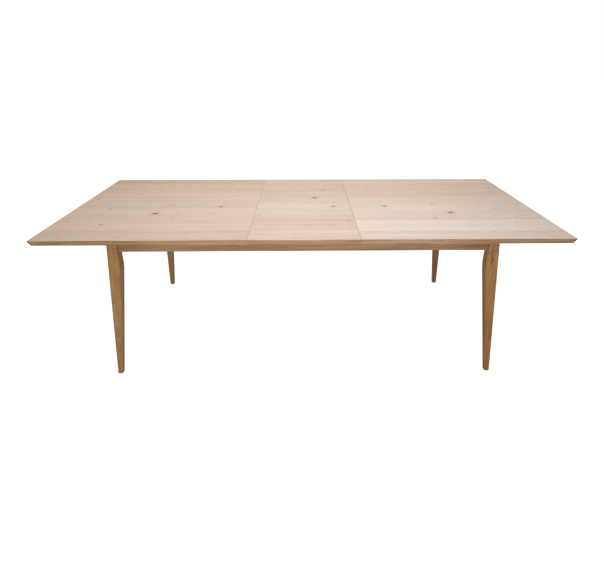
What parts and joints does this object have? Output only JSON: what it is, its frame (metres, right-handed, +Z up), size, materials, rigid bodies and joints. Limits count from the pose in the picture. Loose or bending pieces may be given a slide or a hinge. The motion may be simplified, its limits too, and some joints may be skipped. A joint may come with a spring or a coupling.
{
  "type": "extendable dining table",
  "caption": "Extendable oak dining table: a fixed frame on tapered splayed legs, two sliding top halves and a lift-out leaf between them.",
  "frame": {"origin": "on the floor, under the middle of the table", "axes": "+X along the table to the right, +Y across it to the rear, +Z up"},
  "size_m": [2.4, 1, 0.75],
  "materials": {
    "top_oak": "matt clear oil on pale oak boards with knots",
    "frame_oak": "matt clear oil on oak",
    "rail_oak": "sanded oak, unfinished",
    "beech": "sanded beech, unfinished",
    "aluminium": "extruded, satin",
    "zinc_steel": "zinc plated",
    "brass": "turned",
    "nylon": "moulded, black",
    "felt": "pressed wool felt"
  },
  "bodies": {
    "frame": {"leg_front_left": "frame_oak", "leg_front_right": "frame_oak", "leg_rear_left": "frame_oak", "leg_rear_right": "frame_oak", "apron_front": "frame_oak", "apron_rear": "frame_oak", "apron_left": "frame_oak", "apron_right": "frame_oak", "corner_block_front_left": "beech", "corner_block_front_right": "beech", "corner_block_rear_left": "beech", "corner_block_rear_right": "beech", "hanger_bolts": "zinc_steel", "hanger_washers": "zinc_steel", "hanger_nuts": "zinc_steel", "block_screws": "zinc_steel", "cross_rail_outer_left": "rail_oak", "cross_rail_inner_left": "rail_oak", "cross_rail_inner_right": "rail_oak", "cross_rail_outer_right": "rail_oak", "guide_channel_front": "aluminium", "guide_channel_rear": "aluminium", "channel_screws": "zinc_steel", "channel_end_stops": "nylon", "channel_middle_stops": "nylon", "foot_glides": "nylon", "slide_pads": "felt", "leaf_rest_pads": "felt", "pin_sockets": "brass"},
    "top_left": {"top_left": "top_oak", "runner_front_left": "aluminium", "runner_rear_left": "aluminium", "glide_shoes_left": "nylon", "batten_outer_left": "beech", "batten_inner_left": "beech", "wood_screws_left": "zinc_steel", "latch_bases_left": "zinc_steel"},
    "top_right": {"top_right": "top_oak", "runner_front_right": "aluminium", "runner_rear_right": "aluminium", "glide_shoes_right": "nylon", "batten_inner_right": "beech", "batten_outer_right": "beech", "wood_screws_right": "zinc_steel", "latch_keepers_right": "zinc_steel"},
    "leaf": {"leaf_panel": "top_oak", "leaf_batten_left": "beech", "leaf_batten_right": "beech", "locating_pins": "brass", "wood_screws_leaf": "zinc_steel", "latch_bases_leaf": "zinc_steel", "latch_keepers_leaf": "zinc_steel"},
    "latch_lever_front_left": {"latch_lever_front_left": "zinc_steel"},
    "latch_lever_rear_left": {"latch_lever_rear_left": "zinc_steel"},
    "latch_lever_front_right": {"latch_lever_front_right": "zinc_steel"},
    "latch_lever_rear_right": {"latch_lever_rear_right": "zinc_steel"}
  },
  "joints": [
    {"name": "left_half_slide", "type": "slide", "parent": "frame", "child": "top_left", "axis": [-1, 0, 0], "range_m": [0, 0.03]},
    {"name": "right_half_slide", "type": "slide", "parent": "frame", "child": "top_right", "axis": [1, 0, 0], "range_m": [0, 0.03]},
    {"name": "leaf_lift", "type": "slide", "parent": "frame", "child": "leaf", "axis": [0, 0, 1], "range_m": [0, 0.3]},
    {"name": "latch_turn_front_left", "type": "hinge", "parent": "top_left", "child": "latch_lever_front_left", "pos_m": [-0.275, -0.15, 0.7207], "axis": [0, 0, 1], "range_deg": [-90, 0]},
    {"name": "latch_turn_rear_left", "type": "hinge", "parent": "top_left", "child": "latch_lever_rear_left", "pos_m": [-0.275, 0.15, 0.7207], "axis": [0, 0, 1], "range_deg": [-90, 0]},
    {"name": "latch_turn_front_right", "type": "hinge", "parent": "leaf", "child": "latch_lever_front_right", "pos_m": [0.225, -0.15, 0.7207], "axis": [0, 0, 1], "range_deg": [-90, 0]},
    {"name": "latch_turn_rear_right", "type": "hinge", "parent": "leaf", "child": "latch_lever_rear_right", "pos_m": [0.225, 0.15, 0.7207], "axis": [0, 0, 1], "range_deg": [-90, 0]}
  ]
}
